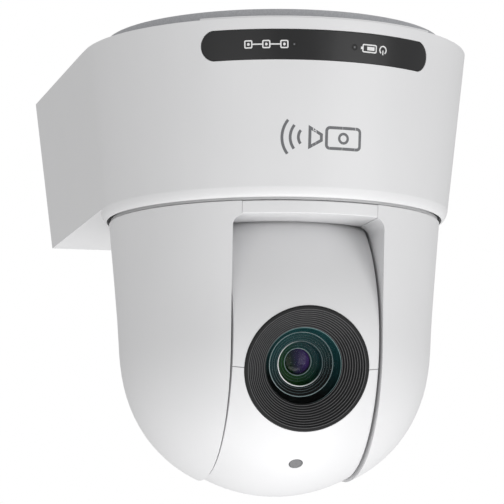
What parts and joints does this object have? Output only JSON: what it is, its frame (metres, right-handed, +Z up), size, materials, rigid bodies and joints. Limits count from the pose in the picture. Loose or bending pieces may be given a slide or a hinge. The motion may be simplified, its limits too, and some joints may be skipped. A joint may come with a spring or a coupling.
{
  "type": "ptz camera",
  "caption": "Ceiling-hung pan, tilt and zoom conference camera: a wedge-backed round base with a dark status window and a domed turning head that carries a slotted camera ball.",
  "frame": {"origin": "centre of the ceiling bracket's mounting face, on the pan axis", "axes": "+Z up to the ceiling along the pan axis; -Y the way the lens faces at pan 0, which is 1.7 degrees from the rest pose; +X completes a right-handed frame"},
  "size_m": [0.1584, 0.2002, 0.1865],
  "materials": {
    "white_casing": "fine satin mould texture",
    "bracket_metal": "silver-grey powder coat",
    "zinc_steel": "zinc plated",
    "bearing_steel": "ground and polished",
    "cast_aluminium": "cast and machined",
    "plated_shell": "nickel plated",
    "brass": "turned",
    "rubber": "moulded",
    "smoked_window": "polished smoke tint",
    "light_pipe": "frosted",
    "circuit_board": "solder mask",
    "dark_panel": "fine texture",
    "black_plastic": "satin",
    "lens_black": "anti-glare satin",
    "tally_grey": "translucent smoke",
    "lens_glass": "multi-coated",
    "nylon": "natural nylon",
    "flex_film": "amber film"
  },
  "bodies": {
    "base": {"ceiling_bracket": "bracket_metal", "bracket_studs": "zinc_steel", "rubber_feet": "rubber", "base_plate": "zinc_steel", "base_plate_screws": "zinc_steel", "tripod_insert": "brass", "base_cover": "white_casing", "status_strip": "smoked_window", "light_pipes": "light_pipe", "led_board": "circuit_board", "main_board": "circuit_board", "board_spacers": "brass", "heat_sink": "cast_aluminium", "rear_panel": "dark_panel", "modular_sockets": "plated_shell", "hdmi_socket": "plated_shell", "sdi_connector": "plated_shell", "dc_jack": "black_plastic", "switch_board": "circuit_board", "base_deck": "zinc_steel", "deck_pillars": "zinc_steel", "bearing_housing": "cast_aluminium", "bearing_outer_ring": "bearing_steel", "bearing_balls": "bearing_steel", "pan_motor": "cast_aluminium", "base_harness": "black_plastic"},
    "reset_button": {"reset_button": "dark_panel"},
    "mode_switch": {"mode_switch": "nylon"},
    "pan_rotor": {"pan_pinion": "brass"},
    "pan_unit": {"pan_shaft": "zinc_steel", "bearing_inner_ring": "bearing_steel", "pan_gear": "nylon", "pan_lock_ring": "zinc_steel", "turntable": "white_casing", "tilt_frame_left": "zinc_steel", "tilt_frame_right": "zinc_steel", "tilt_bushes": "brass", "tilt_motor": "cast_aluminium", "tilt_motor_bracket": "zinc_steel", "tilt_board": "circuit_board", "flex_cable": "flex_film", "pan_cover_left": "white_casing", "pan_cover_right": "white_casing", "pan_fascia": "white_casing", "pan_cover_rear": "white_casing"},
    "tilt_rotor": {"tilt_pinion": "brass"},
    "tilt_head": {"ball_shell_upper": "white_casing", "ball_shell_lower": "white_casing", "camera_bracket": "zinc_steel", "trunnions": "zinc_steel", "tilt_gear": "nylon", "zoom_block": "black_plastic", "lens_barrel": "black_plastic", "front_element": "lens_glass", "lens_bezel": "lens_black", "guide_rods": "zinc_steel", "sensor_board": "circuit_board", "tally_window": "tally_grey"},
    "zoom_lens": {"zoom_group": "black_plastic"},
    "focus_lens": {"focus_group": "black_plastic"}
  },
  "joints": [
    {"name": "pan_hinge", "type": "hinge", "parent": "base", "child": "pan_unit", "pos_m": [0, 0, 0], "axis": [0, 0, 1], "range_deg": [-168.3, 171.7]},
    {"name": "pan_motor_spin", "type": "hinge", "parent": "base", "child": "pan_rotor", "pos_m": [0, 0.0486, 0], "axis": [0, 0, 1], "range_deg": [-859, 842]},
    {"name": "tilt_hinge", "type": "hinge", "parent": "pan_unit", "child": "tilt_head", "pos_m": [0, 0, -0.1245], "axis": [0.9996, -0.0297, 0], "range_deg": [-35.5, 74.5]},
    {"name": "tilt_motor_spin", "type": "hinge", "parent": "pan_unit", "child": "tilt_rotor", "pos_m": [0, 0, -0.0933], "axis": [0.9996, -0.0297, 0], "range_deg": [-249, 119]},
    {"name": "zoom_slide", "type": "slide", "parent": "tilt_head", "child": "zoom_lens", "axis": [0.0286, 0.9632, 0.2672], "range_m": [0, 0.028]},
    {"name": "focus_slide", "type": "slide", "parent": "tilt_head", "child": "focus_lens", "axis": [0.0286, 0.9632, 0.2672], "range_m": [-0.006, 0.006]},
    {"name": "reset_press", "type": "slide", "parent": "base", "child": "reset_button", "axis": [0, -1, 0], "range_m": [0, 0.001], "stiffness_N_per_m": 500, "springref_m": -0.001},
    {"name": "mode_slide", "type": "slide", "parent": "base", "child": "mode_switch", "axis": [1, 0, 0], "range_m": [0, 0.002]}
  ],
  "couplings": [
    {"joint": "pan_motor_spin", "follows": "pan_hinge", "ratio": -5},
    {"joint": "tilt_motor_spin", "follows": "tilt_hinge", "ratio": -3.3333}
  ]
}
